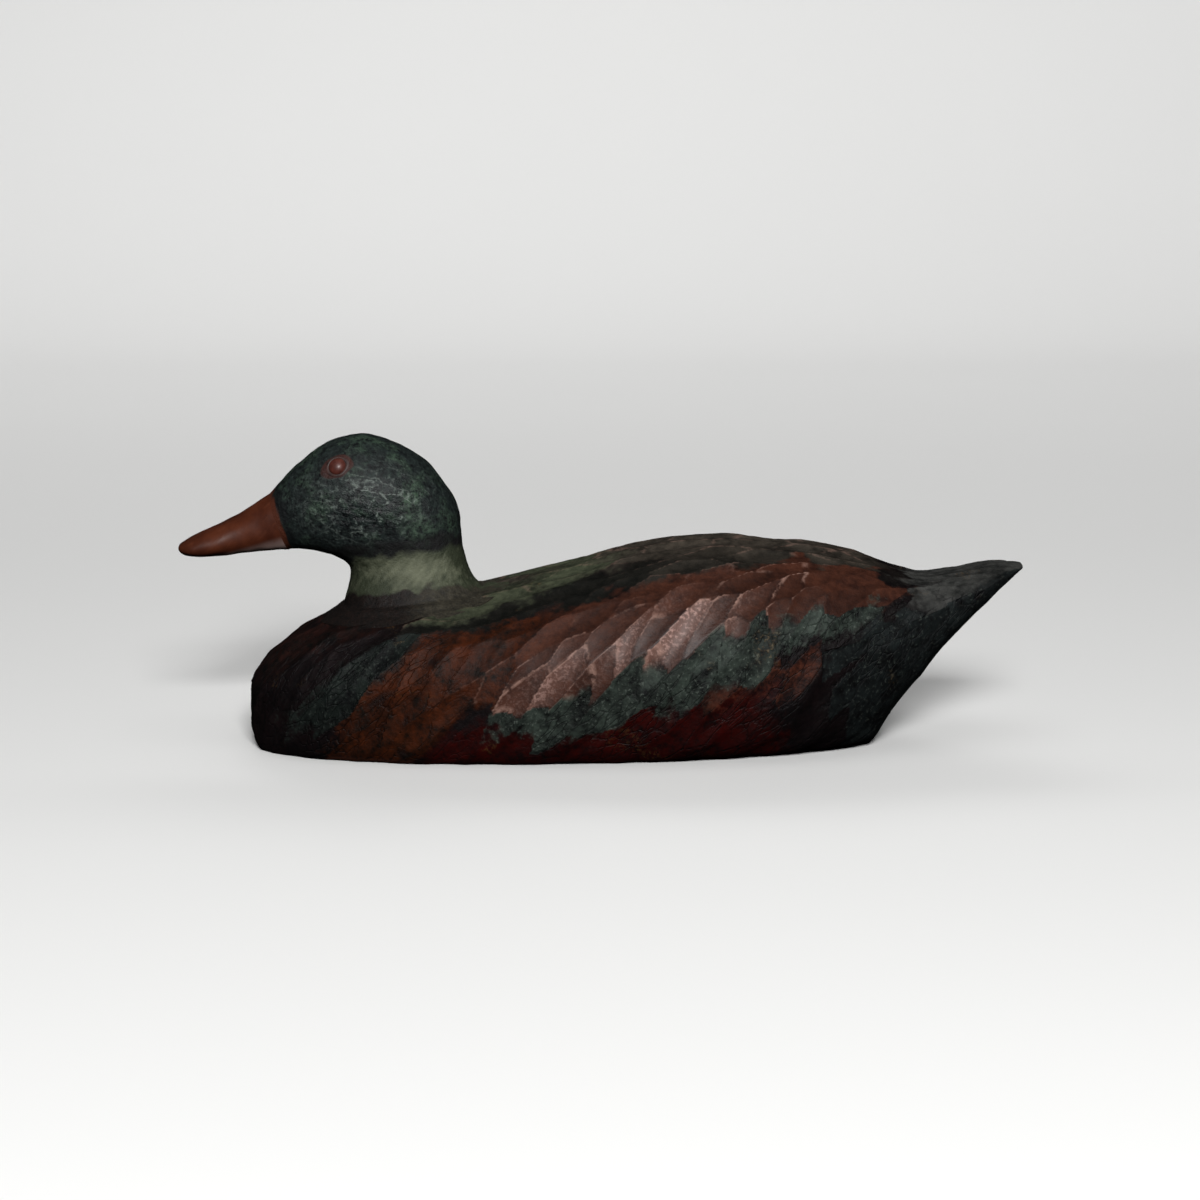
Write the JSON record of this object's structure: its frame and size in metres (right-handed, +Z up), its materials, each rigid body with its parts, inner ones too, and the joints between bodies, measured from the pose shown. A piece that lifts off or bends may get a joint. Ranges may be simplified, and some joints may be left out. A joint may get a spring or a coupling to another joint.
{
  "type": "duck decoy",
  "caption": "Hollow wooden duck decoy with a chip-carved painted body, fixed head and bill, flat bottom board, let-in ballast and a swinging anchor-line ring.",
  "frame": {"origin": "centre of the bounding box at the level of the board's flat underside", "axes": "-X towards the bill, +X towards the tail, +Y to one side across the body, +Z up"},
  "size_m": [0.406, 0.135, 0.1484],
  "materials": {
    "body_paint": "satin varnished paint over chip-carved wood",
    "board_paint": "dark paint over wood",
    "head_paint": "satin dark green-grey paint over carved wood",
    "bill_paint": "satin red-brown paint over smooth wood",
    "dowel_wood": "bare birch",
    "eye_glass": "glossy red-brown",
    "ring_filler": "painted filler",
    "steel": "plain",
    "brass": "dull",
    "ballast_metal": "dull grey"
  },
  "bodies": {
    "decoy": {"body_shell": "body_paint", "bottom_board": "board_paint", "head_block": "head_paint", "bill": "bill_paint", "bill_dowel": "dowel_wood", "eye_left": "eye_glass", "eye_right": "eye_glass", "eye_ring_left": "ring_filler", "eye_ring_right": "ring_filler", "eye_wires": "steel", "neck_dowel": "dowel_wood", "neck_lag_screw": "steel", "neck_washer": "steel", "toe_nails": "steel", "seam_dowels": "dowel_wood", "board_screws": "brass", "screw_plugs": "board_paint", "ballast_bar": "ballast_metal", "ballast_screws": "brass", "line_tie_staple": "brass"},
    "tie_ring": {"line_tie_ring": "brass"}
  },
  "joints": [
    {"name": "tie_ring_swing", "type": "hinge", "parent": "decoy", "child": "tie_ring", "pos_m": [-0.128, 0, 0.0056], "axis": [0, 1, 0], "range_deg": [0, 120]}
  ]
}
